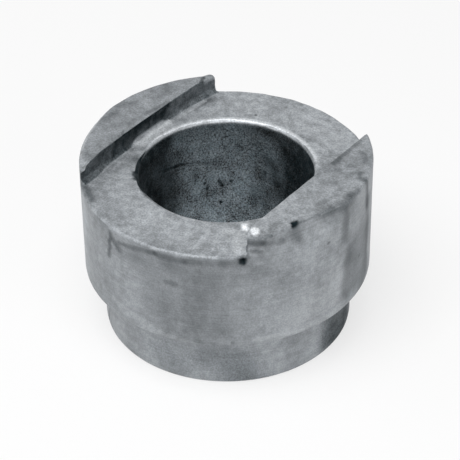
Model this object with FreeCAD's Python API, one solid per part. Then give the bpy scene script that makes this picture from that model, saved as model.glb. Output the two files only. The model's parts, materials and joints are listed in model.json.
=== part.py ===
import FreeCAD, Part
import math
import os

# Spring support bushing: one turned steel ring with a wide head and a stepped spigot.
# A flat-bottomed slot is milled across the head and leaves a raised land on each side.
# Lengths are in millimetres. +Z runs up the bore, and Y runs along the slot.
# The origin lies on the bore axis, in the plane of the spigot's foot.

# Head, whose underside is the seat for the spring
head_diameter = 40.0
head_height = 17.6
head_top_chamfer = 0.35
head_seat_chamfer = 0.4

# Spigot, which centres the spring
spigot_diameter = 34.8
spigot_length = 8.7
spigot_root_radius = 0.5
spigot_foot_chamfer = 0.6

# Bore, right through
bore_diameter = 24.1
bore_mouth_chamfer = 0.5
bore_foot_chamfer = 0.5

# Slot across the head, a little nearer to the land on the -X side
slot_width = 26.6
slot_depth = 2.8
slot_centre_x = -0.6
slot_foot_radius = 0.4
slot_rim_chamfer = 0.25

# Damage on the +X land: the corner at its -Y end is broken off down to the slot floor,
# and its outer edge is worn to a steep flat
broken_corner_along_wall = 3.5
broken_corner_rim_angle = -45.2
worn_edge_angle = -18.5
worn_edge_inset = 1.1
worn_edge_drop = 4.0

# How far cutting shapes reach past the faces that they cut
overcut = 1.0

head_radius = head_diameter / 2
spigot_radius = spigot_diameter / 2
bore_radius = bore_diameter / 2
seat_z = spigot_length
top_z = spigot_length + head_height
slot_floor_z = top_z - slot_depth
wide_land_wall_x = slot_centre_x + slot_width / 2


def point(radius, z):
    """Return the point at a radius and height in the half-plane through the axis."""
    return FreeCAD.Vector(radius, 0, z)


def revolve(edges):
    """Turn a closed outline in the XZ half-plane into a ring about the Z axis."""
    face = Part.Face(Part.Wire(Part.__sortEdges__(edges)))
    return face.revolve(FreeCAD.Vector(0, 0, 0), FreeCAD.Vector(0, 0, 1), 360)


def lines(points):
    """Return the straight edges that join the points in turn."""
    return [Part.makeLine(start, end) for start, end in zip(points, points[1:])]


def turned_blank():
    """Return the head and spigot as turned, still solid along the axis."""
    root_centre = point(spigot_radius + spigot_root_radius, seat_z - spigot_root_radius)
    root_middle = root_centre + FreeCAD.Vector(
        -spigot_root_radius * math.cos(math.pi / 4),
        0,
        spigot_root_radius * math.sin(math.pi / 4),
    )
    root_start = point(spigot_radius, seat_z - spigot_root_radius)
    root_end = point(spigot_radius + spigot_root_radius, seat_z)
    foot = lines([
        point(0, 0),
        point(spigot_radius - spigot_foot_chamfer, 0),
        point(spigot_radius, spigot_foot_chamfer),
        root_start,
    ])
    root = [Part.Arc(root_start, root_middle, root_end).toShape()]
    head = lines([
        root_end,
        point(head_radius - head_seat_chamfer, seat_z),
        point(head_radius, seat_z + head_seat_chamfer),
        point(head_radius, top_z - head_top_chamfer),
        point(head_radius - head_top_chamfer, top_z),
        point(0, top_z),
        point(0, 0),
    ])
    return revolve(foot + root + head)


def bore_cutter():
    """Return the bore, with a chamfer at the slot floor and one at the foot."""
    mouth_radius = bore_radius + bore_mouth_chamfer
    outline = [
        point(0, -overcut),
        point(bore_radius + bore_foot_chamfer + overcut, -overcut),
        point(bore_radius, bore_foot_chamfer),
        point(bore_radius, slot_floor_z - bore_mouth_chamfer),
        point(mouth_radius, slot_floor_z),
        point(mouth_radius, top_z + overcut),
        point(0, top_z + overcut),
        point(0, -overcut),
    ]
    return revolve(lines(outline))


def slot_cutter():
    """Return the slot, a long block whose two lower edges are rounded."""
    length = head_diameter + 2 * overcut
    block = Part.makeBox(slot_width, length, slot_depth + overcut)
    block.translate(FreeCAD.Vector(slot_centre_x - slot_width / 2, -length / 2, slot_floor_z))
    lower_edges = [
        edge for edge in block.Edges
        if all(abs(vertex.Z - slot_floor_z) < 1e-6 for vertex in edge.Vertexes)
        and abs(edge.Length - length) < 1e-6
    ]
    return block.makeFillet(slot_foot_radius, lower_edges)


def slot_rim_cutter():
    """Return the two thin wedges that break the slot floor's outer rim."""
    low = slot_floor_z - slot_rim_chamfer
    high = slot_floor_z + overcut
    ring = revolve(lines([
        point(head_radius, low),
        point(head_radius + overcut, low),
        point(head_radius + overcut, high),
        point(head_radius - slot_rim_chamfer - overcut, high),
        point(head_radius, low),
    ]))
    floor_width = slot_width - 2 * slot_foot_radius
    span = Part.makeBox(floor_width, 4 * head_radius, slot_rim_chamfer + 2 * overcut)
    span.translate(FreeCAD.Vector(slot_centre_x - floor_width / 2, -2 * head_radius, low - overcut))
    return ring.common(span)


def broken_corner_cutter():
    """Return the piece that is missing from the wide land's corner."""
    corner_y = -math.sqrt(head_radius ** 2 - wide_land_wall_x ** 2)
    rim_angle = math.radians(broken_corner_rim_angle)
    on_wall = FreeCAD.Vector(wide_land_wall_x, corner_y + broken_corner_along_wall, slot_floor_z)
    on_rim = FreeCAD.Vector(
        head_radius * math.cos(rim_angle),
        head_radius * math.sin(rim_angle),
        slot_floor_z,
    )
    past_rim = on_rim + (on_rim - on_wall).normalize() * overcut
    in_slot_x = wide_land_wall_x - overcut
    outline = [
        on_wall,
        past_rim,
        FreeCAD.Vector(past_rim.x, corner_y - overcut, slot_floor_z),
        FreeCAD.Vector(in_slot_x, corner_y - overcut, slot_floor_z),
        FreeCAD.Vector(in_slot_x, on_wall.y, slot_floor_z),
        on_wall,
    ]
    face = Part.Face(Part.Wire(lines(outline)))
    return face.extrude(FreeCAD.Vector(0, 0, slot_depth + overcut))


def worn_edge_cutter():
    """Return the block whose tilted inner face is the worn flat on the wide land."""
    tilt = math.degrees(math.atan(worn_edge_inset / worn_edge_drop))
    edge_x = head_radius - worn_edge_inset
    block = Part.makeBox(head_radius, head_diameter, 2 * slot_depth + worn_edge_drop)
    block.translate(FreeCAD.Vector(edge_x, -head_radius, top_z - slot_depth - worn_edge_drop))
    block.rotate(FreeCAD.Vector(edge_x, 0, top_z), FreeCAD.Vector(0, 1, 0), -tilt)
    block.rotate(FreeCAD.Vector(0, 0, 0), FreeCAD.Vector(0, 0, 1), worn_edge_angle)
    return block


def bushing():
    """Return the bushing, with the slot, bore and damage cut out of the turned blank."""
    shape = turned_blank()
    for cutter in (
        slot_cutter(),
        slot_rim_cutter(),
        bore_cutter(),
        broken_corner_cutter(),
        worn_edge_cutter(),
    ):
        shape = shape.cut(cutter)
    return shape.removeSplitter()


os.makedirs("parts", exist_ok=True)
solid = bushing().Solids[0]
solid.exportStep("parts/bushing.step")
print("volume_mm3", round(solid.Volume, 1), "valid", solid.isValid())
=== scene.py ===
import json
import logging
import math
from dataclasses import dataclass
from enum import Enum
from typing import Callable, Iterable, Sequence

import bmesh
import bpy
from mathutils import Matrix, Vector, noise
from mathutils.kdtree import KDTree


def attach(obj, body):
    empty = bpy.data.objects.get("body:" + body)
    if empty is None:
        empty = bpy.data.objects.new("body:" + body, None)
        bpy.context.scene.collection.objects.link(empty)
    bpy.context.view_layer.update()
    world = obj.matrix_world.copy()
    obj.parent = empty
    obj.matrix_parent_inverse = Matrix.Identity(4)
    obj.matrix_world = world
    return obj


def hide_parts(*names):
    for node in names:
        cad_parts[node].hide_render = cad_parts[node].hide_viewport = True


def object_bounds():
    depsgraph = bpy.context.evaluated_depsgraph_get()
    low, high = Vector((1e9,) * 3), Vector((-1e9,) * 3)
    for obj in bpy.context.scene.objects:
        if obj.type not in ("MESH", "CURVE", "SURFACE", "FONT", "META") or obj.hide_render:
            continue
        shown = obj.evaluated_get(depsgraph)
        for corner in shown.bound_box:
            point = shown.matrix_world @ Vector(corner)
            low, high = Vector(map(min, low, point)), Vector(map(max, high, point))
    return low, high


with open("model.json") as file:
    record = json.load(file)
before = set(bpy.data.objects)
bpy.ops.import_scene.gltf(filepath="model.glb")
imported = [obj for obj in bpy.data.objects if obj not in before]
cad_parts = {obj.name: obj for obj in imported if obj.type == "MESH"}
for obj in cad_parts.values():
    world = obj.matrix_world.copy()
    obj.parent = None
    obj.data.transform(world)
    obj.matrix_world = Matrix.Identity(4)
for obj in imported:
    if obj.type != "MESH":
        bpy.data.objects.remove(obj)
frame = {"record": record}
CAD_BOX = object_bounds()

LOG = logging.getLogger("bushing")
MM = 0.001
IMAGE_SIZE = 460
SENSOR_WIDTH = 36.0
NOISE_SEED = 7

Point = Sequence[float]
Row = Sequence[float]
Spot = tuple[Vector, float, float]

UP = Vector((0, 0, 1))
SLOT_FLOOR = 23.50
LAND_TOP = 26.30


def smooth_step(share: float) -> float:
    """Return a share from 0 to 1, eased at both ends."""
    share = max(0.0, min(1.0, share))
    return share * share * (3.0 - 2.0 * share)


def rising(value: float, start: float, length: float) -> float:
    """Return an eased share that is 0 up to a start and 1 from a length past it."""
    return smooth_step((value - start) / length)


def falling(value: float, end: float, length: float) -> float:
    """Return an eased share that is 1 up to a length before an end and 0 past it."""
    return smooth_step((end - value) / length)


def angle_of(point: Vector) -> float:
    """Return a point's angle round the bore's axis, from 0 to 360 degrees."""
    return math.degrees(math.atan2(point.y, point.x)) % 360


def way_out(angle: float) -> Vector:
    """Return the level way out from the bore's axis at an angle in radians."""
    return Vector((math.cos(angle), math.sin(angle), 0.0))


def way_to(azimuth: float, elevation: float) -> Vector:
    """Return the way from the bushing to a lamp or the camera.

    Args:
        azimuth: Degrees round from the front, towards the right.
        elevation: Degrees above the floor.

    Returns:
        A vector of length 1.
    """
    a, e = math.radians(azimuth), math.radians(elevation)
    return Vector((math.sin(a) * math.cos(e), -math.cos(a) * math.cos(e), math.sin(e)))


def tree_of(places: Sequence[Vector]) -> KDTree:
    """Put places into a tree that finds those near a point.

    Args:
        places: The places, which the tree knows by their order.

    Returns:
        The tree, ready for use.
    """
    tree = KDTree(len(places))
    for index, place in enumerate(places):
        tree.insert(place, index)
    tree.balance()
    return tree


@dataclass(frozen=True)
class Span:
    """A stretch of angles or lengths that fades in at its start and out at its end."""

    start: float
    fade_in: float
    end: float
    fade_out: float

    def share(self, value: float) -> float:
        """Return how far inside the stretch a value lies, from 0 to 1."""
        return rising(value, self.start, self.fade_in) * falling(value, self.end, self.fade_out)


class EdgeKind(Enum):
    """Kinds of sharp edge, each with how far its rounding reaches and its smoothing passes."""

    RIM = (0.5, 4)
    MOUTH = (0.45, 3)
    WALL_TOP = (0.4, 3)
    WALL_FOOT = (0.6, 6)
    CORNER = (0.5, 7)


class Coat(Enum):
    """Painted shares that the finish reads from the mesh: stain with painted shade, polish with painted
    highlight, turning marks and grit.
    """

    STAIN_AND_SHADE = "stain_and_shade"
    POLISH_AND_HIGHLIGHT = "polish_and_highlight"
    TURNED = "turned"
    GRIT = "grit"


@dataclass(frozen=True)
class Mark:
    """A mark of stain and painted shade, or of polish and painted highlight, round the line from its start to
    its end.
    """

    start: Point
    end: Point
    radius: float
    strength: float

    @property
    def middle(self) -> Vector:
        """Return the middle of the line."""
        return (Vector(self.start) + Vector(self.end)) / 2

    @property
    def reach(self) -> float:
        """Return how far from its middle the mark shows."""
        return (Vector(self.end) - Vector(self.start)).length / 2 + self.radius

    def share(self, point: Vector) -> float:
        """Return how strongly the mark shows at a point.

        Args:
            point: A point in millimetres.

        Returns:
            The strength, fading to 0 at the mark's radius.
        """
        start = Vector(self.start)
        along = Vector(self.end) - start
        point = point + noise.noise_vector(point * 0.8 / self.radius) * self.radius * 0.35
        part = max(0.0, min(1.0, (point - start).dot(along) / max(along.length_squared, 1e-9)))
        gap = (point - start - along * part).length / self.radius
        fade = 0.5 if self.radius < 0.45 else 0.8 if self.radius < 1.2 else 1.0
        return self.strength * smooth_step((1.0 - gap) / fade)


def marks(*rows: Row) -> tuple[Mark, ...]:
    """Return marks from rows of numbers: both ends' places, the radius and the strength."""
    return tuple(Mark(row[:3], row[3:6], *row[6:]) for row in rows)


def flat_marks(height: float, *rows: Row) -> tuple[Mark, ...]:
    """Return marks at one height, whose rows leave out the height of both ends."""
    return tuple(Mark((*row[:2], height), (*row[2:4], height), *row[4:]) for row in rows)


@dataclass(frozen=True)
class Dent:
    """A pit, or a burr where its depth is below 0, pushed along the surface's normal."""

    place: Point
    radius: float
    depth: float

    def push(self, point: Vector) -> float:
        """Return how far in a point goes, in millimetres."""
        gap = (point - Vector(self.place)).length / self.radius
        return self.depth * smooth_step(1.0 - gap) if gap < 1.0 else 0.0


@dataclass(frozen=True)
class Ripple:
    """A faint unevenness: its height, its density, and where its pattern starts."""

    height: float
    density: float
    start: Point = (0.0, 0.0, 0.0)

    def push(self, point: Vector) -> float:
        """Return how far in a point goes, in millimetres."""
        return self.height * noise.noise(point * self.density + Vector(self.start))


@dataclass(frozen=True)
class Facet:
    """A worn flat: what lies beyond the plane through three points is worn down to it."""

    corners: tuple[Point, Point, Point]
    reach: float

    @property
    def middle(self) -> Vector:
        """Return the middle of the three points."""
        return sum((Vector(corner) for corner in self.corners), Vector()) / 3

    def worn(self, point: Vector, inside: Vector) -> Vector:
        """Return where a point ends after the wear.

        Args:
            point: A point of the surface.
            inside: A point that lies in the metal, to tell the plane's sides apart.

        Returns:
            The point, or its foot on the plane where it lay beyond it.
        """
        a, b, c = (Vector(corner) for corner in self.corners)
        normal = (b - a).cross(c - a).normalized()
        if (inside - a).dot(normal) > 0:
            normal.negate()
        beyond = (point - a).dot(normal)
        if beyond <= 0 or (point - self.middle).length > self.reach:
            return point
        return point - normal * beyond


# Real stains and pits on the head, with painted shade: the dark upright band where the side turns away at the
# right, and painted shadow under the rims, across the side's front and on the broken corner's end face.
HEAD_STAINS_AND_SHADE = marks(
    (13.59, -14.68, 22.95, 13.82, -14.46, 22.92, 0.74, 1.0),
    (13.63, -14.63, 22.62, 13.82, -14.46, 22.59, 0.60, 1.0),
    (10.80, -16.84, 23.66, 14.19, -14.09, 23.43, 0.55, 0.36),
    (11.85, -16.11, 22.72, 13.91, -14.37, 22.42, 1.51, 0.32),
    (14.91, -13.33, 20.43, 14.72, -13.54, 13.80, 1.92, 0.13),
    (16.86, -7.74, 26.30, 16.98, -7.44, 26.30, 0.71, 1.0),
    (17.16, -8.18, 26.40, 17.28, -7.86, 26.36, 0.68, 1.0),
    (17.39, -8.22, 25.57, 17.79, -8.08, 24.37, 1.37, 0.36),
    (14.11, -14.17, 25.78, 15.43, -12.73, 25.49, 0.96, 0.55),
    (14.02, -14.26, 26.43, 13.92, -14.36, 24.52, 0.68, 0.35),
    (14.56, -13.71, 24.41, 15.34, -12.83, 24.06, 0.48, 0.4),
    (15.59, -12.52, 25.28, 16.92, -10.19, 24.93, 0.68, 0.28),
    (16.89, -10.16, 25.06, 17.30, -8.52, 25.55, 0.82, 0.16),
    (14.38, -13.90, 26.37, 16.06, -11.64, 26.23, 0.41, 0.4),
    (16.06, -11.64, 26.23, 16.92, -8.90, 26.41, 0.48, 0.2),
    (3.50, -19.69, 14.96, 3.70, -19.66, 20.37, 5.75, 0.33),
    (17.67, -9.37, 17.05, 17.69, -9.33, 12.31, 2.47, 0.14),
    (17.07, -9.31, 25.43, 17.45, -9.77, 19.37, 1.92, 0.09),
    (17.64, -7.02, 26.09, 18.28, -7.63, 23.18, 1.10, 0.2),
    (19.97, 1.05, 25.24, 19.53, 4.32, 20.16, 2.19, 0.12),
    (2.44, -19.85, 10.80, 3.93, -19.61, 10.33, 1.92, 0.14),
    (10.44, -17.06, 13.53, 10.52, -17.01, 19.06, 6.85, 0.28),
    (-2.55, -19.84, 20.94, -0.39, -20.00, 20.69, 2.74, 0.24),
    (9.90, -17.38, 22.77, 11.64, -16.27, 22.55, 1.37, 0.22),
    (13.74, -14.53, 25.35, 13.92, -14.36, 23.71, 0.68, 0.3),
    (5.15, -19.32, 21.81, 6.20, -19.02, 20.79, 2.19, 0.2),
    (17.47, -7.23, 26.45, 18.47, -4.17, 26.52, 0.44, 0.35),
    (18.42, -4.55, 26.25, 19.27, -2.12, 26.15, 1.10, 0.28),
    (19.27, -2.12, 26.15, 19.94, -0.33, 25.87, 1.51, 0.26),
    (20.00, -0.14, 24.98, 20.00, -0.40, 20.54, 1.23, 0.4),
    (19.99, 0.65, 18.23, 19.97, 1.01, 15.98, 1.23, 0.22),
    (20.00, 0.24, 16.47, 20.00, -0.23, 10.95, 1.64, 0.48),
    (19.90, 1.97, 18.06, 19.92, 1.78, 11.54, 3.29, 0.42),
    (19.18, 5.66, 18.20, 19.41, 4.83, 9.36, 3.01, 0.4),
    (19.66, -3.67, 21.88, 19.66, -3.67, 21.88, 0.33, 0.5),
    (19.66, 3.66, 15.22, 19.66, 3.66, 15.22, 0.27, 0.5),
    (18.79, 6.86, 22.33, 18.84, 6.71, 10.54, 1.92, 0.45),
    (19.19, 5.63, 27.14, 19.03, 6.14, 22.20, 1.23, 0.65),
    (-4.47, -19.49, 22.35, -5.00, -19.37, 18.21, 0.62, 0.55),
    (-3.90, -19.62, 21.52, -2.77, -19.81, 20.49, 0.82, 0.45),
    (-2.70, -19.82, 21.69, 3.34, -19.72, 22.70, 0.62, 0.42),
    (3.34, -19.72, 22.54, 7.39, -18.58, 22.38, 0.75, 0.38),
    (7.39, -18.58, 22.38, 13.25, -14.98, 22.82, 0.68, 0.22),
    (4.91, -19.39, 18.44, 6.00, -19.08, 18.42, 0.62, 0.3),
    (9.56, -17.57, 8.46, 11.49, -16.37, 8.26, 0.62, 0.42),
    (12.56, -15.56, 9.29, 12.56, -15.56, 9.29, 0.44, 0.35),
    (6.15, -19.03, 8.79, 7.71, -18.45, 8.31, 0.44, 0.25),
)
# Stains on the slot floor, with painted shade along the narrow wall's foot.
FLOOR_STAINS_AND_SHADE = flat_marks(
    SLOT_FLOOR,
    (-12.68, -14.85, -10.01, -16.32, 1.23, 0.62),
    (5.41, 10.93, 8.86, 8.32, 0.68, 0.6),
    (-6.70, -10.45, -4.95, -11.32, 0.27, 0.6),
    (-4.95, -11.32, -2.11, -12.07, 0.26, 0.5),
    (-2.11, -12.07, 1.12, -12.07, 0.22, 0.25),
    (-9.68, -7.97, -8.52, -9.17, 0.60, 0.9),
    (-13.14, 7.34, -12.55, 12.64, 0.68, 0.3),
    (-12.44, 11.09, -12.09, 12.98, 0.96, 0.35),
    (-4.73, 13.19, -4.73, 13.19, 0.26, 0.8),
    (-5.99, 12.27, -4.84, 13.10, 0.27, 0.3),
    (-4.50, 14.32, -3.43, 14.78, 0.82, 0.15),
    (-6.87, -15.71, -3.50, -17.69, 3.01, 0.22),
    (-10.31, -13.68, -10.34, -11.97, 1.92, 0.12),
    (3.26, 12.74, 3.89, 12.58, 0.55, 0.3),
    (4.86, 12.67, 5.82, 12.76, 0.60, 0.3),
    (-13.43, -14.39, -13.36, -12.59, 0.68, 0.4),
    (-13.52, -12.41, -13.53, -10.50, 0.49, 0.4),
    (-1.08, 19.08, -1.08, 19.08, 0.36, 0.28),
    (3.53, 17.97, 4.62, 18.13, 0.44, 0.2),
    (8.33, 17.71, 8.33, 17.71, 0.47, 0.22),
)
# Stains on the lands' tops, with painted shade along the wide land's inner edge, whose wall turns away.
LAND_STAINS_AND_SHADE = flat_marks(
    LAND_TOP,
    (13.15, 2.97, 13.72, 6.59, 1.10, 0.12),
    (13.27, 6.54, 13.07, 12.94, 0.68, 0.42),
    (13.43, 7.25, 13.38, 7.80, 0.68, 0.2),
    (13.71, 4.25, 14.26, 5.81, 0.68, 0.15),
    (17.51, 6.75, 17.94, 5.63, 0.49, 0.42),
    (14.83, 10.94, 16.60, 9.29, 0.82, 0.32),
    (19.80, -0.61, 19.51, 1.68, 1.23, 0.34),
    (19.17, 1.71, 19.59, 3.43, 0.82, 0.45),
    (-19.20, 0.15, -17.87, 2.08, 0.96, 0.32),
    (-18.49, -3.75, -18.55, -1.28, 0.96, 0.3),
    (-18.51, -5.02, -16.97, -5.12, 0.82, 0.12),
    (-16.87, 4.42, -15.65, 6.29, 0.55, 0.15),
    (-14.84, 0.80, -14.17, 5.11, 0.55, 0.35),
    (-14.60, -4.31, -14.18, -4.92, 0.27, 0.4),
    (-13.42, 11.51, -14.03, 13.22, 0.36, 0.6),
    (-12.52, 13.49, -11.97, 12.90, 0.41, 0.9),
    (-13.27, 12.94, -12.82, 12.94, 0.55, -2.0),
) + marks(
    (-13.90, -14.11, 25.21, -13.90, -14.07, 23.21, 0.68, 0.4),
)
# Stains and black specks in the bore, with the painted shadow that the mouth's edge casts across its left
# wall.
BORE_STAINS_AND_SHADE = marks(
    (-10.68, -5.58, 23.25, -11.71, -2.85, 18.07, 2.19, 0.7),
    (-11.82, -2.37, 16.36, -12.04, 0.43, 12.55, 2.05, 0.9),
    (-1.99, 11.88, 10.54, 2.29, 11.83, 13.81, 3.01, 0.42),
    (-10.40, -6.09, 20.46, -11.98, 1.28, 17.51, 0.41, 1.0),
    (-11.98, 1.28, 17.51, -11.27, 4.26, 17.25, 0.33, 0.9),
    (-11.27, 4.26, 17.25, -9.26, 7.71, 16.41, 0.27, 0.5),
    (-9.26, 7.71, 16.41, -4.37, 11.23, 15.93, 0.25, 0.25),
    (-1.68, 11.93, 17.68, -0.16, 12.05, 14.23, 1.78, 0.66),
    (-2.62, 11.76, 14.42, -0.68, 12.03, 14.20, 1.10, 0.4),
    (3.87, 11.41, 23.62, 5.95, 10.48, 20.25, 1.92, 0.6),
    (-0.39, 12.04, 24.96, 3.86, 11.42, 24.29, 1.23, 0.4),
    (-9.58, 7.31, 12.99, -9.58, 7.31, 12.99, 0.36, 0.9),
    (-9.40, 7.54, 12.05, -9.40, 7.54, 12.05, 0.33, 0.9),
    (-8.19, 8.84, 13.05, -7.88, 9.12, 12.32, 0.36, 0.9),
    (-6.84, 9.92, 13.00, -6.84, 9.92, 13.00, 0.36, 0.9),
    (-8.01, 9.00, 9.29, -8.01, 9.00, 9.29, 0.36, 0.95),
    (-8.36, 8.68, 7.34, -8.36, 8.68, 7.34, 0.30, 0.8),
    (-6.52, 10.13, 6.56, -6.52, 10.13, 6.56, 0.33, 0.8),
    (-2.16, 11.86, 15.27, -2.16, 11.86, 15.27, 0.41, 0.8),
    (-0.86, 12.02, 15.19, -0.86, 12.02, 15.19, 0.30, 0.4),
)
# Painted shade on the spigot's right side under the head, and stains on the spigot.
SPIGOT_STAINS_AND_SHADE = marks(
    (16.68, 4.97, 2.63, 16.94, 3.96, -0.39, 6.30, 0.85),
    (17.40, 0.17, 4.70, 17.40, -0.23, 2.46, 3.56, 0.5),
    (17.19, 2.69, 3.83, 17.30, 1.90, 1.53, 3.29, 0.4),
    (11.35, -13.19, 0.88, 11.36, -13.18, 2.31, 6.03, 0.36),
    (1.49, -17.34, 3.38, 6.59, -16.10, 3.33, 3.56, 0.2),
    (-9.93, -14.29, 4.01, -11.03, -13.46, 0.40, 0.33, 0.4),
    (-4.64, -16.77, 3.54, -4.64, -16.77, 3.54, 0.55, 0.15),
)
# Rubbed spots and painted highlights: the two glints at the broken corner, light bands along the rims and the
# seat's edge, and lighter patches on the side.
POLISH_AND_HIGHLIGHT_MARKS = flat_marks(
    SLOT_FLOOR,
    (9.68, -8.70, 10.31, -9.45, 0.71, 1.0),
    (-13.27, -2.17, -13.15, 4.15, 0.96, 0.55),
    (10.60, -11.67, 12.36, -13.58, 1.37, 0.25),
    (8.74, -11.15, 10.50, -10.66, 1.10, 0.22),
    (-7.12, 14.98, 6.64, 15.22, 5.48, 0.07),
    (-13.19, 6.03, -12.81, 11.79, 0.36, 0.25),
    (-3.78, -20.63, -1.33, -21.13, 0.68, 0.3),
    (-1.33, -21.13, 3.62, -20.02, 0.68, 0.35),
    (-14.55, -2.80, -14.24, 4.62, 0.55, 0.3),
) + flat_marks(
    LAND_TOP,
    (13.65, -11.88, 14.15, -12.47, 0.68, 1.0),
    (-14.47, -12.94, -13.23, -14.38, 0.47, 0.5),
    (-13.30, 12.75, -12.97, 13.49, 0.52, 0.25),
) + marks(
    (-7.96, -15.47, 2.13, -4.21, -16.88, 3.11, 2.19, 0.07),
    (18.65, -7.23, 12.08, 19.84, -2.50, 14.21, 5.75, 0.16),
    (15.07, -13.15, 9.61, 17.05, -10.45, 9.47, 0.82, 0.16),
    (17.05, -10.45, 9.47, 18.30, -8.07, 9.36, 0.82, 0.16),
    (18.30, -8.07, 9.36, 19.81, -2.75, 9.37, 0.82, 0.16),
    (3.61, -19.67, 9.52, 8.35, -18.17, 8.61, 0.68, 0.12),
    (-4.21, -19.55, 11.20, 2.10, -19.89, 10.14, 0.82, 0.08),
    (18.79, -5.02, 24.43, 19.81, -2.74, 21.87, 1.64, 0.1),
)
DENTS = (
    Dent((13.73, -14.54, 22.93), 0.62, 0.5),
    Dent((17.21, -7.98, 26.30), 0.7, 0.4),
    Dent((19.66, -3.67, 21.88), 0.35, 0.1),
    Dent((9.82, -8.99, 23.5), 0.7, -0.2),
    Dent((13.72, -12.14, 26.30), 0.6, -0.25),
    Dent((-4.73, 13.19, 23.50), 0.26, 0.08),
    Dent((-14.0, -4.9, 26.30), 0.4, 0.12),
    Dent((-13.9, 14.4, 26.2), 1.2, -0.22),
)
FACETS = (
    Facet(((-13.8, -12.2, 26.3), (-17.2, -10.2, 26.3), (-13.4, -14.8, 25.25)), 4.0),
)
RIPPLES = (Ripple(0.016, 0.18), Ripple(0.012, 0.7, (9, 2, 5)))
LAND_RIPPLE = Ripple(0.014, 0.45, (3, 7, 1))


@dataclass(frozen=True)
class BushingSizes:
    """Sizes of the bushing in millimetres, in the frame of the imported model."""

    head_radius: float
    top: float
    seat: float
    floor: float
    bore_radius: float
    spigot_radius: float
    wide_wall: float = 12.7
    narrow_wall: float = -13.9
    seat_edge: float = 0.5
    spigot_root: float = 0.5
    foot_edge: float = 0.6
    bore_foot_edge: float = 0.5
    land_chamfer: float = 0.3
    floor_chamfer: float = 0.3
    mouth_chamfer: float = 0.58
    wall_chamfer: float = 0.15
    foot_fillet: float = 0.45
    broken_wall_y: float = -12.25
    broken_rim_angle: float = -45.2
    worn_angle: float = -18.5
    worn_inset: float = 1.1
    worn_drop: float = 4.0
    worn_blend: float = 0.1

    @classmethod
    def from_record(cls, record: dict, highest: float) -> "BushingSizes":
        """Read the sizes that the record states.

        Args:
            record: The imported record, with its mounts.
            highest: Height of the lands in metres.

        Returns:
            The sizes of the bushing.
        """
        mounts = {mount["name"]: mount for mount in record["mounts"]}
        return cls(
            head_radius=CAD_BOX[1][0] / MM,
            top=highest / MM,
            seat=mounts["spring_seat"]["pos_m"][2] / MM,
            floor=mounts["slot_floor"]["pos_m"][2] / MM,
            bore_radius=mounts["bore"]["dims"]["r_mm"],
            spigot_radius=mounts["spigot"]["dims"]["r_mm"],
        )

    @property
    def depth(self) -> float:
        """Return the depth of the slot."""
        return self.top - self.floor

    @property
    def broken_plane(self) -> tuple[Vector, Vector]:
        """Describe the broken corner's plane.

        Returns:
            A point of the plane and its outward normal.
        """
        angle = math.radians(self.broken_rim_angle)
        on_wall = Vector((self.wide_wall, self.broken_wall_y, self.floor))
        on_rim = Vector((self.head_radius * math.cos(angle), self.head_radius * math.sin(angle), self.floor))
        along = (on_rim - on_wall).normalized()
        return on_wall, Vector((along.y, -along.x, 0.0))

    @property
    def worn_plane(self) -> tuple[Vector, Vector]:
        """Describe the worn flat's plane.

        Returns:
            A point of the plane and its outward normal.
        """
        outward = way_out(math.radians(self.worn_angle))
        on_top = outward * (self.head_radius - self.worn_inset) + Vector((0, 0, self.top))
        return on_top, (outward * self.worn_drop + Vector((0, 0, self.worn_inset))).normalized()


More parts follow.
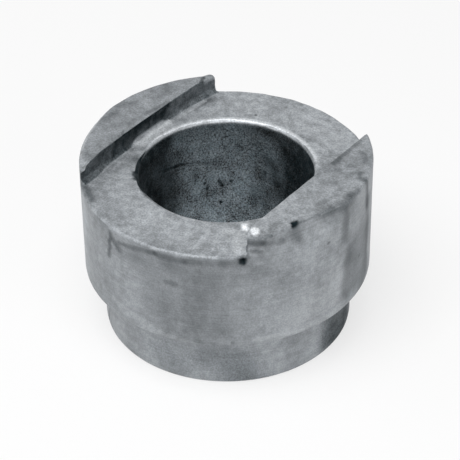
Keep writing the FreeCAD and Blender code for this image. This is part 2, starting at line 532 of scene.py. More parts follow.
@dataclass
class BushingBody:
    """The bushing's one piece: a turned ring with a milled slot and its damage."""

    sizes: BushingSizes
    step: float = 0.52
    segments: int = 264
    land_steps: int = 5
    weld_reach: float = 0.27
    seam_reach: float = 0.03
    refine_passes: int = 3
    edge_bands: tuple[tuple[float, float], ...] = ((0.95, 0.36), (0.5, 0.2))
    small_mark: float = 0.9
    chamfer_reach: float = 1.2
    near_mouth: float = 0.14
    far_mouth: Span = Span(34, 18, 198, 12)
    chipped_mouth: Span = Span(192, 28, 250, 16)
    worn_rim: Span = Span(180, 15, 232, 8)
    tip_start: float = 12.4
    tip_length: float = 2.0
    tip_radius: float = 1.2
    lean_reach: float = 2.2
    lean_stations: tuple[tuple[float, float], ...] = (
        (-15.0, 0.5), (-12.5, 0.32), (-9.5, -0.05), (-2.0, -0.2),
        (6.0, -0.12), (11.0, 0.0), (12.8, 0.35), (14.6, 1.25),
    )
    sink: float = 0.014
    bore_middle_angle: float = 127
    # Where the chipped mouth's chamfer is painted dark.
    chipped_mouth_dark: Span = Span(190, 8, 250, 10)
    # The floor beside the far side of the bore's mouth carries a painted highlight.
    mouth_floor_highlight: Span = Span(34, 18, 190, 12)
    lit_wall: Span = Span(-4.4, 2.6, 5.0, 1.8)

    def build(self) -> bpy.types.Object:
        """Build the piece as a mesh object in metres, in its place.

        Returns:
            The new object, linked to the scene.
        """
        mesh = bmesh.new()
        self.turn_blank(mesh)
        self.mill_slot(mesh)
        places = self.sharp_places(mesh)
        self.refine(mesh, places)
        self.chamfer(mesh)
        self.bend(mesh, places)
        self.wear_flats(mesh)
        self.round_tip(mesh)
        self.soften(mesh, places)
        coats = self.paint(mesh)
        self.roughen(mesh)
        bmesh.ops.scale(mesh, verts=mesh.verts[:], vec=(MM, MM, MM))
        data = bpy.data.meshes.new("bushing_steel")
        mesh.to_mesh(data)
        mesh.free()
        for coat, shares in coats.items():
            data.attributes.new(coat.value, "FLOAT", "POINT").data.foreach_set("value", shares)
        data.shade_smooth()
        obj = bpy.data.objects.new("bushing_steel", data)
        bpy.context.scene.collection.objects.link(obj)
        triangles = sum(len(face.vertices) - 2 for face in data.polygons)
        LOG.info("%s: %d points, %d triangles", obj.name, len(data.vertices), triangles)
        return obj

    def outline(self) -> list[Vector]:
        """Draw the closed outline of the blank in the XZ half-plane, with rounded corners.

        Returns:
            The points of the outline in turn.
        """
        s = self.sizes
        corners = [
            (s.bore_radius + s.bore_foot_edge, 0.0, 0.0),
            (s.spigot_radius, 0.0, s.foot_edge),
            (s.spigot_radius, s.seat, s.spigot_root),
            (s.head_radius, s.seat, s.seat_edge),
            (s.head_radius, s.floor, 0.0),
            (s.head_radius, s.top, 0.0),
            (s.bore_radius, s.top, 0.0),
            (s.bore_radius, s.floor, 0.0),
            (s.bore_radius, s.bore_foot_edge, 0.0),
        ]
        points: list[Vector] = []
        for index, (radius, height, rounding) in enumerate(corners):
            corner = Vector((radius, 0.0, height))
            if rounding == 0.0:
                points.append(corner)
                continue
            before, after = (
                Vector((corners[k % len(corners)][0], 0.0, corners[k % len(corners)][1]))
                for k in (index - 1, index + 1)
            )
            start = corner + (before - corner).normalized() * rounding
            end = corner + (after - corner).normalized() * rounding
            for part in range(5):
                t = part / 4
                points.append(start * (1 - t) ** 2 + corner * 2 * t * (1 - t) + end * t * t)
        return self.spaced(points)

    def spaced(self, points: list[Vector]) -> list[Vector]:
        """Add points to a closed outline so that no run is longer than the step.

        Args:
            points: The corners of the outline in turn.

        Returns:
            The outline with its long runs divided evenly.
        """
        result: list[Vector] = []
        for start, end in zip(points, points[1:] + points[:1]):
            count = max(1, math.ceil((end - start).length / self.step - 0.02))
            result += [start.lerp(end, k / count) for k in range(count)]
        return result

    def turn_blank(self, mesh: bmesh.types.BMesh) -> None:
        """Spin the outline about the bore axis into a closed ring.

        Args:
            mesh: The empty mesh that takes up the ring.
        """
        verts = [mesh.verts.new(point) for point in self.outline()]
        edges = [mesh.edges.new(pair) for pair in zip(verts, verts[1:] + verts[:1])]
        bmesh.ops.spin(
            mesh, geom=verts + edges, cent=(0, 0, 0), axis=(0, 0, 1), dvec=(0, 0, 0),
            angle=math.tau, steps=self.segments, use_merge=True,
        )
        bmesh.ops.remove_doubles(mesh, verts=mesh.verts[:], dist=1e-3)
        bmesh.ops.recalc_face_normals(mesh, faces=mesh.faces[:])

    def in_pocket(self, point: Vector) -> bool:
        """Tell whether a point above the slot floor was milled or broken away.

        Args:
            point: A point in millimetres.

        Returns:
            True in the slot's band and at the broken corner.
        """
        s = self.sizes
        on_plane, outward = s.broken_plane
        between = s.narrow_wall < point.x < s.wide_wall
        broken = point.x > 0 and point.y < 0 and (point - on_plane).dot(outward) > 0
        return between or broken

    def cut_plane(
        self, mesh: bmesh.types.BMesh, on_plane: Vector, normal: Vector,
        chosen: Callable[[bmesh.types.BMFace], bool],
    ) -> list[bmesh.types.BMVert]:
        """Cut the chosen faces by a plane.

        Args:
            mesh: The mesh that is cut.
            on_plane: A point on the plane.
            normal: The plane's normal.
            chosen: Tells which faces are cut.

        Returns:
            The points that lie on the cut.
        """
        faces = [face for face in mesh.faces if chosen(face)]
        edges = dict.fromkeys(edge for face in faces for edge in face.edges)
        verts = dict.fromkeys(vert for face in faces for vert in face.verts)
        made = bmesh.ops.bisect_plane(
            mesh, geom=faces + list(edges) + list(verts), dist=1e-4, plane_co=on_plane, plane_no=normal,
        )
        return [item for item in made["geom_cut"] if isinstance(item, bmesh.types.BMVert)]

    def weld_near(self, mesh: bmesh.types.BMesh, fixed: Iterable[bmesh.types.BMVert]) -> None:
        """Weld loose points to the cut points beside them, so that no sliver is left.

        Args:
            mesh: The mesh that holds the points.
            fixed: The points on a cut, which stay where they are.
        """
        anchors = [vert for vert in dict.fromkeys(fixed) if vert.is_valid]
        anchors.sort(key=lambda vert: vert.co[:])
        tree = tree_of([vert.co for vert in anchors])
        kept = set(anchors)
        targets = {}
        for vert in mesh.verts:
            if vert in kept:
                continue
            _, index, distance = tree.find(vert.co)
            if distance < self.weld_reach and abs(vert.co.z - anchors[index].co.z) < 1e-3:
                targets[vert] = anchors[index]
        bmesh.ops.weld_verts(mesh, targetmap=targets)

    def settle(self, mesh: bmesh.types.BMesh) -> None:
        """Make the mesh anew in order of place, so that every run builds the same mesh.

        Args:
            mesh: The mesh whose points and faces are put in order.
        """
        def place(vert: bmesh.types.BMVert) -> list[float]:
            """Return a point's rounded place."""
            return [round(length, 4) for length in vert.co]

        points = []
        for index, vert in enumerate(sorted(mesh.verts, key=place)):
            vert.index = index
            points.append([round(length, 5) for length in vert.co])
        rings = []
        for face in mesh.faces:
            ring = [vert.index for vert in face.verts]
            start = ring.index(min(ring))
            rings.append(ring[start:] + ring[:start])
        mesh.clear()
        verts = [mesh.verts.new(point) for point in points]
        for ring in sorted(rings):
            mesh.faces.new([verts[index] for index in ring])
        mesh.normal_update()

    def close_seams(self, mesh: bmesh.types.BMesh) -> None:
        """Join the walls' ends to the turned side, splitting each open edge where it meets a point.

        Args:
            mesh: The milled mesh.
        """
        for _ in range(self.land_steps):
            open_edges = [edge for edge in mesh.edges if edge.is_boundary]
            ends = list(dict.fromkeys(vert for edge in open_edges for vert in edge.verts))
            for edge in open_edges:
                start, along = edge.verts[0].co.copy(), edge.verts[1].co - edge.verts[0].co
                for vert in ends:
                    share = (vert.co - start).dot(along) / along.length_squared
                    if 0.02 < share < 0.98 and (start + along * share - vert.co).length < self.seam_reach:
                        bmesh.utils.edge_split(edge, edge.verts[0], share)
                        break
            ends = list(dict.fromkeys(vert for edge in mesh.edges if edge.is_boundary for vert in edge.verts))
            bmesh.ops.remove_doubles(mesh, verts=ends, dist=self.seam_reach)

    def mill_slot(self, mesh: bmesh.types.BMesh) -> None:
        """Sink the band between the lands, and the broken corner, to the slot floor.

        Args:
            mesh: The turned blank.
        """
        s = self.sizes

        def upper(face: bmesh.types.BMFace) -> bool:
            """Return whether a face lies above the slot floor."""
            return min(vert.co.z for vert in face.verts) > s.floor - 1e-3

        fixed = self.cut_plane(mesh, Vector((s.narrow_wall, 0, 0)), Vector((1, 0, 0)), upper)
        fixed += self.cut_plane(mesh, Vector((s.wide_wall, 0, 0)), Vector((1, 0, 0)), upper)
        on_plane, outward = s.broken_plane

        def near_corner(face: bmesh.types.BMFace) -> bool:
            """Return whether a face lies at the corner that is broken off."""
            middle = face.calc_center_median()
            return upper(face) and middle.x > s.wide_wall and middle.y < s.broken_wall_y + 1.5

        fixed += self.cut_plane(mesh, on_plane, outward, near_corner)
        self.weld_near(mesh, fixed)
        pocket = [face for face in mesh.faces if upper(face) and self.in_pocket(face.calc_center_median())]
        sunk = [face for face in pocket if face.normal.z > 0.9]
        bmesh.ops.delete(mesh, geom=[face for face in pocket if face.normal.z <= 0.9], context="FACES")
        parted = bmesh.ops.split(mesh, geom=[face for face in sunk if face.is_valid])
        moved = [item for item in parted["geom"] if isinstance(item, bmesh.types.BMVert)]
        bmesh.ops.translate(mesh, verts=moved, vec=(0, 0, -s.depth))
        chain = [
            edge for edge in mesh.edges
            if edge.is_boundary and all(vert.co.z > s.top - 1e-3 for vert in edge.verts)
        ]
        for _ in range(self.land_steps):
            made = bmesh.ops.extrude_edge_only(mesh, edges=chain)["geom"]
            lowered = dict.fromkeys(item for item in made if isinstance(item, bmesh.types.BMVert))
            bmesh.ops.translate(mesh, verts=list(lowered), vec=(0, 0, -s.depth / self.land_steps))
            chain = [
                item for item in made
                if isinstance(item, bmesh.types.BMEdge) and all(vert in lowered for vert in item.verts)
            ]
        bmesh.ops.remove_doubles(mesh, verts=mesh.verts[:], dist=0.02)
        self.close_seams(mesh)
        bmesh.ops.recalc_face_normals(mesh, faces=mesh.faces[:])
        self.settle(mesh)
        loose = sum(not edge.is_manifold for edge in mesh.edges)
        LOG.info("slot milled: %d faces, %d open edges", len(mesh.faces), loose)

    def edge_kind(self, edge: bmesh.types.BMEdge) -> EdgeKind | None:
        """Return which kind of sharp edge an edge is.

        Args:
            edge: An edge of the mesh.

        Returns:
            The kind, or None where the edge isn't sharp.
        """
        s = self.sizes
        middle = (edge.verts[0].co + edge.verts[1].co) / 2
        if middle.z < s.floor - 0.1 or edge.calc_face_angle(0.0) < math.radians(30):
            return None
        if abs(edge.verts[0].co.z - edge.verts[1].co.z) > 1e-3:
            return EdgeKind.CORNER
        radius = middle.xy.length
        if radius > s.head_radius - 0.05:
            return EdgeKind.RIM
        if radius < s.bore_radius + 0.05:
            return EdgeKind.MOUTH
        return EdgeKind.WALL_TOP if middle.z > s.top - 0.05 else EdgeKind.WALL_FOOT

    def sharp_places(self, mesh: bmesh.types.BMesh) -> dict[EdgeKind, list[Vector]]:
        """Find points along the sharp edges.

        Args:
            mesh: The milled mesh.

        Returns:
            The points of each kind of edge.
        """
        places: dict[EdgeKind, list[Vector]] = {kind: [] for kind in EdgeKind}
        for edge in mesh.edges:
            kind = self.edge_kind(edge)
            if kind is not None:
                start, end = (vert.co.copy() for vert in edge.verts)
                places[kind] += [start, (start + end) / 2, end]
        return places

    def fine_spots(self, places: dict[EdgeKind, list[Vector]]) -> list[Spot]:
        """Find where the mesh has to be fine: at sharp edges, damage, small marks and the worn flat.

        Args:
            places: Points along the sharp edges.

        Returns:
            Places, each with its reach and the longest edge that is left there.
        """
        s = self.sizes
        spots = [(point, *band) for points in places.values() for band in self.edge_bands for point in points]
        spots += [(Vector(dent.place), dent.radius * 1.2, max(0.11, dent.radius * 0.2)) for dent in DENTS]
        spots += [(facet.middle, facet.reach * 0.8, 0.24) for facet in FACETS]
        for mark in HEAD_STAINS_AND_SHADE + FLOOR_STAINS_AND_SHADE + LAND_STAINS_AND_SHADE + BORE_STAINS_AND_SHADE + POLISH_AND_HIGHLIGHT_MARKS:
            if mark.radius < self.small_mark:
                start, end = Vector(mark.start), Vector(mark.end)
                count = 1 + int((end - start).length / mark.radius)
                for k in range(count + 1):
                    place = start.lerp(end, k / count)
                    spots.append((place, mark.radius * 1.3, max(0.13, mark.radius * 0.6)))
        for turn in range(-22, 23, 2):
            on_top = way_out(math.radians(s.worn_angle) + math.radians(turn)) * (s.head_radius - 0.4)
            spots += [(on_top + Vector((0, 0, s.top - 0.8 * drop)), 0.9, 0.3) for drop in range(6)]
        return spots

    def refine(self, mesh: bmesh.types.BMesh, places: dict[EdgeKind, list[Vector]]) -> None:
        """Divide the mesh finely along the sharp edges and at the damage.

        Args:
            mesh: The mesh that is refined.
            places: Points along the sharp edges.
        """
        spots = self.fine_spots(places)
        for _ in range(self.refine_passes):
            self.settle(mesh)
            edges = mesh.edges[:]
            tree = tree_of([(edge.verts[0].co + edge.verts[1].co) / 2 for edge in edges])
            chosen = set()
            for place, reach, length in spots:
                for _, index, _ in tree.find_range(place, reach):
                    if index not in chosen and edges[index].calc_length() > length:
                        chosen.add(index)
            if not chosen:
                break
            split = [edges[index] for index in sorted(chosen)]
            bmesh.ops.subdivide_edges(mesh, edges=split, cuts=1, use_grid_fill=True)
            wide = [face for face in mesh.faces if len(face.verts) > 4]
            bmesh.ops.triangulate(mesh, faces=wide, quad_method="FIXED", ngon_method="EAR_CLIP")
        self.settle(mesh)
        LOG.info("refined to %d faces", len(mesh.faces))

    def chamfered(self, place: Vector) -> Vector:
        """Return where a point ends when the rim, mouth or wall's edge beside it is broken.

        Args:
            place: A point of the refined mesh in millimetres.

        Returns:
            The point, moved in where it lay past a chamfer.
        """
        s = self.sizes
        point, radius, angle = place.copy(), place.xy.length, angle_of(place)
        outward = Vector((place.x / radius, place.y / radius, 0.0))
        uneven = 1.0 + 0.45 * noise.noise(place * 0.5)
        from_narrow, from_wide = place.x - s.narrow_wall, s.wide_wall - place.x
        pocket = self.in_pocket(place) and from_narrow > 1e-3
        if place.z <= s.floor + 1e-3:
            taper = smooth_step(min(from_narrow, max(from_wide, 1.2 if place.y < -12 else 0.0)) / 0.6)
            beyond = radius - s.head_radius + place.z - s.floor + s.floor_chamfer * uneven * taper
            if pocket and beyond > 0:
                point -= (outward + UP) * beyond / 2
            far_leg = s.mouth_chamfer * (0.32 + 0.25 * uneven)
            mouth = self.near_mouth + (far_leg - self.near_mouth) * self.far_mouth.share(angle)
            mouth += 0.34 * self.chipped_mouth.share(angle) * uneven
            beyond = s.bore_radius - radius + point.z - s.floor + mouth
            if beyond > 0:
                point += (outward - UP) * beyond / 2
            return point
        leg = s.land_chamfer * (0.7 + 0.3 * uneven) + 0.4 * self.worn_rim.share(angle)
        beyond = radius - s.head_radius + place.z - s.top + leg
        if beyond > 0 and not pocket:
            point -= (outward + UP) * beyond / 2
        leg = point.z - s.top + s.wall_chamfer * uneven
        past_narrow, past_wide = leg - abs(from_narrow), leg - abs(from_wide)
        if from_narrow < 1e-3 and past_narrow > 0:
            point -= Vector((1, 0, 1)) * past_narrow / 2
        elif from_wide < 1e-3 and point.y > s.broken_wall_y and past_wide > 0:
            point -= Vector((-1, 0, 1)) * past_wide / 2
        return point

    def filled(self, place: Vector, point: Vector) -> Vector:
        """Return where a point ends when the rounding at the walls' feet is filled in.

        Args:
            place: The point before the edge beside it was broken.
            point: The point after that.

        Returns:
            The point, moved out where it lay in a wall's foot.
        """
        s = self.sizes
        rise = point.z - s.floor
        fillet = s.foot_fillet * (1.0 + 0.6 * rising(abs(point.y), 7, 6) * (point.x < 0))
        if place.xy.length <= s.bore_radius + 0.9 or not -1e-3 < rise < fillet:
            return point
        from_narrow, from_wide = place.x - s.narrow_wall, s.wide_wall - place.x
        inner = fillet - from_narrow - rise
        if from_narrow > -1e-3 and inner > 0:
            point = point + Vector((1, 0, 1)) * inner / 2
        inner = fillet * 0.7 - from_wide - rise
        if from_wide > -1e-3 and point.y > s.broken_wall_y + 0.5 and inner > 0:
            point = point + Vector((-1, 0, 1)) * inner / 2
        return point

    def chamfer(self, mesh: bmesh.types.BMesh) -> None:
        """Break the rims, the bore's mouth and the walls' edges, and fill the walls' feet.

        Args:
            mesh: The refined mesh.
        """
        for vert in mesh.verts:
            if vert.co.z >= self.sizes.floor - self.chamfer_reach:
                place = vert.co.copy()
                vert.co = self.filled(place, self.chamfered(place))

    def bent(self, point: Vector) -> Vector:
        """Return where a point near the narrow land's wall ends, with the wall's ends bent in.

        Args:
            point: A point in millimetres.

        Returns:
            The point moved along the slot's width, and kept on the rim where it was on it.
        """
        s = self.sizes
        share = smooth_step(1.0 - abs(point.x - s.narrow_wall) / self.lean_reach)
        share *= rising(point.z - s.floor, -1.6, 1.6)
        if share == 0.0:
            return point
        stations = self.lean_stations
        y = max(stations[0][0], min(stations[-1][0], point.y))
        shift = 0.0
        for (y0, x0), (y1, x1) in zip(stations, stations[1:]):
            if y0 <= y <= y1:
                shift = x0 + (x1 - x0) * rising(y, y0, y1 - y0)
        radius = point.xy.length
        moved = point + Vector((shift * share, 0, 0))
        on_rim = rising(radius - s.head_radius, -1.6, 1.4)
        factor = 1.0 + on_rim * (radius / moved.xy.length - 1.0)
        return Vector((moved.x * factor, moved.y * factor, moved.z))

    def bend(self, mesh: bmesh.types.BMesh, places: dict[EdgeKind, list[Vector]]) -> None:
        """Bend the narrow land's wall, and the points along its edges with it.

        Args:
            mesh: The mesh that is bent.
            places: Points along the sharp edges, which are replaced by the bent ones.
        """
        for vert in mesh.verts:
            vert.co = self.bent(vert.co)
        for kind, points in places.items():
            places[kind] = [self.bent(point) for point in points]

    def wear_flats(self, mesh: bmesh.types.BMesh) -> None:
        """Wear the long flat and the small facets into the lands.

        Args:
            mesh: The mesh that is worn.
        """
        s = self.sizes
        on_plane, outward = s.worn_plane
        for vert in mesh.verts:
            if vert.co.z < s.floor - 3:
                continue
            beyond = (vert.co - on_plane).dot(outward)
            if beyond > -s.worn_blend and vert.co.x > 10:
                blended = (beyond + s.worn_blend) ** 2 / (4 * s.worn_blend)
                vert.co -= outward * (blended if beyond < s.worn_blend else beyond)
            for facet in FACETS:
                inside = facet.middle * 0.9 - Vector((0, 0, 3))
                vert.co = facet.worn(vert.co, inside)

    def round_tip(self, mesh: bmesh.types.BMesh) -> None:
        """Round the top of the narrow land's far tip, more and more towards the tip.

        Args:
            mesh: The mesh that is shaped.
        """
        s = self.sizes
        end = self.bent(Vector((s.narrow_wall, math.sqrt(s.head_radius ** 2 - s.narrow_wall ** 2), s.top)))
        onward = Vector((0.4, 0.92, 0)).normalized()
        for vert in mesh.verts:
            if vert.co.x > 0 or vert.co.y < self.tip_start or vert.co.z < s.top - self.tip_radius:
                continue
            wall_x = self.bent(Vector((s.narrow_wall, vert.co.y, s.top))).x
            share = rising(vert.co.y, self.tip_start, self.tip_length)
            outward = Vector((vert.co.x, vert.co.y, 0.0)).normalized()
            at_wall, at_rim = (max(0.05, part * self.tip_radius * share) for part in (0.75, 0.3))
            cuts = (
                (vert.co.x - min(wall_x, end.x), Vector((1, 0, 0)), at_wall),
                (vert.co.xy.length - s.head_radius, outward, at_rim),
                ((vert.co - end).dot(onward), onward, self.tip_radius),
            )
            for beyond, direction, rounding in cuts:
                across, rise = max(beyond + rounding, 0.0), max(vert.co.z - s.top + rounding, 0.0)
                over = math.hypot(across, rise) - rounding
                if over > 0:
                    vert.co -= (direction * across + Vector((0, 0, rise))).normalized() * over

    @staticmethod
    def smooth(mesh: bmesh.types.BMesh, verts: list[bmesh.types.BMVert], passes: int) -> None:
        """Draw each of the points halfway to the middle of its neighbours.

        Args:
            mesh: The mesh that holds the points.
            verts: The points that move.
            passes: How many times they move.
        """
        for _ in range(passes):
            bmesh.ops.smooth_vert(
                mesh, verts=verts, factor=0.5, use_axis_x=True, use_axis_y=True, use_axis_z=True,
            )

    def soften(self, mesh: bmesh.types.BMesh, places: dict[EdgeKind, list[Vector]]) -> None:
        """Round the sharp edges by smoothing the points beside them.

        Args:
            mesh: The mesh that is smoothed.
            places: Points along the sharp edges, by kind.
        """
        s = self.sizes
        verts = mesh.verts[:]
        tree = tree_of([vert.co for vert in verts])
        for kind, points in places.items():
            reach, passes = kind.value
            near = {index for point in points for _, index, _ in tree.find_range(point, reach)}
            self.smooth(mesh, [verts[index] for index in near], passes)
        on_plane, outward = s.worn_plane
        beside = [
            vert for vert in verts
            if vert.co.x > 14 and vert.co.z > s.top - s.worn_drop - 1.5
            and abs((vert.co - on_plane).dot(outward)) < 0.12 and vert.co.xy.length > 18
        ]
        self.smooth(mesh, beside, 3)

    def roughen(self, mesh: bmesh.types.BMesh) -> None:
        """Push pits, burrs and a faint unevenness into the surface, inside the CAD box.

        Args:
            mesh: The shaped mesh.
        """
        s = self.sizes
        mesh.normal_update()
        on_broken, broken_out = s.broken_plane
        shifts: list[tuple[bmesh.types.BMVert, Vector]] = []
        for vert in mesh.verts:
            point = vert.co
            push = sum((ripple.push(point) for ripple in RIPPLES), self.sink)
            if point.z > s.floor - 0.3:
                push += LAND_RIPPLE.push(point)
                broken = point.x > 12 and point.y < -11 and abs((point - on_broken).dot(broken_out)) < 0.4
                if broken and point.z > s.floor + 0.2:
                    push += 0.12 * (0.6 + noise.noise(point * 1.3))
            push = sum((dent.push(point) for dent in DENTS), push)
            shifts.append((vert, vert.normal * push))
        widest = s.head_radius * 0.9998
        for vert, shift in shifts:
            point = vert.co - shift
            x, y = (max(-widest, min(widest, place)) for place in point.xy)
            vert.co = (x, y, max(0.0, min(s.top, point.z)))

    def wall_darkening(self, point: Vector, normal: Vector) -> float:
        """Return how dark the slot's walls are painted at a point: their upright faces, with a lighter band
        at the narrow wall's foot that is taller where the wall is lit, and none at its far tip.

        Args:
            point: A point of the surface in millimetres.
            normal: The surface's normal there.

        Returns:
            A share from 0 to 1.
        """
        s = self.sizes
        height = point.z - s.floor
        if height < -0.1 or (height > 2.0 and normal.z > 0.6):
            return 0.0
        if abs(point.x - s.narrow_wall) < 2.0 and normal.x > 0.2:
            middle = falling(point.y - 0.35 * height, 5.6, 2.2) * rising(point.y, -11, 7)
            # Painted light: along the lit stretch of the wall, the light band at the foot is taller.
            lit = self.lit_wall.share(point.y)
            foot = rising(height, 0.85 * lit - 0.3, 0.4 - 0.1 * lit) * rising(normal.x, 0.35, 0.4)
            upper = rising(height, 0.9, 1.2)
            blotch = 0.2 * noise.noise(point * 0.9) + 0.12 * noise.noise(point * 2.2)
            knob = rising(point.y, 12.3, 1.0) * rising(height, 1.8, 0.4)
            return (1 - knob) * foot * min(0.98, 0.64 + blotch + middle * (0.2 + 0.18 * upper))
        if abs(point.x - s.wide_wall) < 0.8 and normal.x < -0.3:
            return 0.7
        return 0.0

    def bore_shade(self, point: Vector) -> float:
        """Return the painted shade on the bore's wall at a point: darker towards the mouth and towards both
        sides, away from the bore's middle angle.

        Args:
            point: A point of the wall in millimetres.

        Returns:
            A share from 0, which may pass 1.
        """
        turn = (angle_of(point) - self.bore_middle_angle + 180) % 360 - 180
        bore_shade = 0.03 + 0.1 * rising(point.z, 8, 12) + 0.22 * rising(point.z, 20.5, 2)
        bore_shade += (0.22 + 0.14 * rising(-turn, 4, 10)) * rising(point.z, 19, 4)
        bore_shade += 0.7 * rising(turn - 26, 0.7 * max(0.0, point.z - 12), 16)
        return bore_shade + (0.28 * rising(-turn, 10, 12) + 0.6 * rising(-turn, 32, 16))

    def paint(self, mesh: bmesh.types.BMesh) -> dict[Coat, list[float]]:
        """Return each point's shares of stain and painted shade, polish and painted highlight, turning marks
        and grit.

        Args:
            mesh: The finished mesh in millimetres.

        Returns:
            A list of shares for each coat, in the order of the points.
        """
        s = self.sizes
        mesh.normal_update()
        stain_and_shade, polish_and_highlight, turned, grit = [], [], [], []
        for vert in mesh.verts:
            point, normal, radius, angle = vert.co, vert.normal, vert.co.xy.length, angle_of(vert.co)
            in_bore = falling(radius, s.bore_radius + 0.3, 0.3) * falling(point.z, s.floor - 0.35, 0.3)
            slope = rising(normal.z, 0, 0.3) * falling(normal.z, 0.95, 0.2) * (point.z > s.floor - 1)
            mouth = slope * (radius < s.bore_radius + 0.9)
            chipped = self.chipped_mouth_dark.share(angle)
            wall = self.wall_darkening(point, normal)
            land = 0.25 if point.x < 0 else 0.1 * rising(point.y, -2, 6)
            land *= rising(point.z - s.top, -0.3, 0.2)
            # Painted shade in the bore and on the slot's walls, the chipped mouth painted dark, and darker
            # land tops.
            stain_and_shade.append(max(min(0.98, self.bore_shade(point)) * in_bore, 0.97 * mouth * chipped, wall, land))
            grit.append(max(in_bore, 0.5 * wall))
            # Painted highlight on the floor beside the far side of the mouth, and rubbed metal with a painted
            # highlight on the mouth's chamfer where it isn't chipped.
            rubbed_and_highlight = self.mouth_floor_highlight.share(angle) * (abs(point.z - s.floor) < 0.1)
            rubbed_and_highlight *= falling(radius, s.bore_radius + 1.1, 0.7)
            polish_and_highlight.append(max(0.15 * mouth * (1 - chipped), 0.55 * rubbed_and_highlight))
            turned.append(falling(abs(normal.z), 0.7, 0.3) * (radius > s.bore_radius + 1))
        tree = tree_of([vert.co for vert in mesh.verts])
        # Stains and painted shade from the tables of marks.
        for mark in HEAD_STAINS_AND_SHADE + FLOOR_STAINS_AND_SHADE + LAND_STAINS_AND_SHADE + BORE_STAINS_AND_SHADE + SPIGOT_STAINS_AND_SHADE:
            for place, index, _ in tree.find_range(mark.middle, mark.reach):
                share = mark.share(place)
                stain_and_shade[index] = 1 - (1 - stain_and_shade[index]) * (1 - share)
                if mark in SPIGOT_STAINS_AND_SHADE:
                    grit[index] = max(grit[index], 0.6 * share)
        # Rubbed spots and painted highlights clear the stain and shade beneath them.
        for mark in POLISH_AND_HIGHLIGHT_MARKS:
            for place, index, _ in tree.find_range(mark.middle, mark.reach):
                share = mark.share(place)
                polish_and_highlight[index] = max(polish_and_highlight[index], share)
                stain_and_shade[index] *= 1 - min(1.0, share)
        return {Coat.STAIN_AND_SHADE: stain_and_shade, Coat.POLISH_AND_HIGHLIGHT: polish_and_highlight, Coat.TURNED: turned, Coat.GRIT: grit}


class Graph:
    """Short ways to add and join the nodes of one material."""

    def __init__(self, material: bpy.types.Material) -> None:
        """Take over a material's nodes.

        Args:
            material: The material whose nodes are added to.
        """
        material.use_nodes = True
        self.tree = material.node_tree
        self.shader = self.tree.nodes["Principled BSDF"]
        self.place = self.tree.nodes.new("ShaderNodeTexCoord").outputs["Object"]

    def put(self, value: object, socket: bpy.types.NodeSocket) -> None:
        """Join an output to a socket, or set the socket to a number.

        Args:
            value: An output, a number or a colour.
            socket: The socket that takes it.
        """
        if isinstance(value, bpy.types.NodeSocket):
            self.tree.links.new(value, socket)
        else:
            socket.default_value = value

    def noise(self, scale: float, detail: float = 3.0, stretch: Point = (1, 1, 1)) -> bpy.types.NodeSocket:
        """Return a cloudy pattern from 0 to 1.

        Args:
            scale: Number of clouds in a metre.
            detail: Number of finer layers.
            stretch: How much denser the pattern is along each axis.

        Returns:
            The pattern's output.
        """
        mapping = self.tree.nodes.new("ShaderNodeMapping")
        mapping.inputs["Scale"].default_value = stretch
        self.tree.links.new(self.place, mapping.inputs["Vector"])
        node = self.tree.nodes.new("ShaderNodeTexNoise")
        node.inputs["Scale"].default_value = scale
        node.inputs["Detail"].default_value = detail
        self.tree.links.new(mapping.outputs[0], node.inputs["Vector"])
        return node.outputs["Fac"]

    def math(
        self, operation: str, first: object, second: object = 0.0, clamp: bool = False,
    ) -> bpy.types.NodeSocket:
        """Return the result of a sum on outputs or numbers.

        Args:
            operation: The Math node's operation.
            first: An output or a number.
            second: An output or a number.
            clamp: Whether the result is kept from 0 to 1.

        Returns:
            The result's output.
        """
        node = self.tree.nodes.new("ShaderNodeMath")
        node.operation = operation
        node.use_clamp = clamp
        self.put(first, node.inputs[0])
        self.put(second, node.inputs[1])
        return node.outputs[0]

    def swing(self, pattern: bpy.types.NodeSocket, amount: object) -> bpy.types.NodeSocket:
        """Return a pattern as a swing about 0, times an amount."""
        return self.math("MULTIPLY", self.math("SUBTRACT", pattern, 0.5), amount)

    def mix(self, share: object, first: object, second: object) -> bpy.types.NodeSocket:
        """Return a colour between two colours.

        Args:
            share: 0 for the first colour, 1 for the second.
            first: An output or a colour.
            second: An output or a colour.

        Returns:
            The mixed colour's output.
        """
        node = self.tree.nodes.new("ShaderNodeMix")
        node.data_type = "RGBA"
        self.put(share, node.inputs[0])
        self.put(first, node.inputs[6])
        self.put(second, node.inputs[7])
        return node.outputs[2]

    def colours(
        self, operation: str, first: object, second: object, socket: int | str,
    ) -> bpy.types.NodeSocket:
        """Return the result of a sum on a colour.

        Args:
            operation: The Vector Math node's operation.
            first: The colour's output.
            second: An output or a number.
            socket: The node's socket that takes the second one.

        Returns:
            The resulting colour's output.
        """
        node = self.tree.nodes.new("ShaderNodeVectorMath")
        node.operation = operation
        self.put(first, node.inputs[0])
        self.put(second, node.inputs[socket])
        return node.outputs[0]

    def coat(self, coat: Coat) -> bpy.types.NodeSocket:
        """Read a share that is painted on the mesh.

        Args:
            coat: The painted share.

        Returns:
            The share's output.
        """
        node = self.tree.nodes.new("ShaderNodeAttribute")
        node.attribute_name = coat.value
        return node.outputs["Fac"]


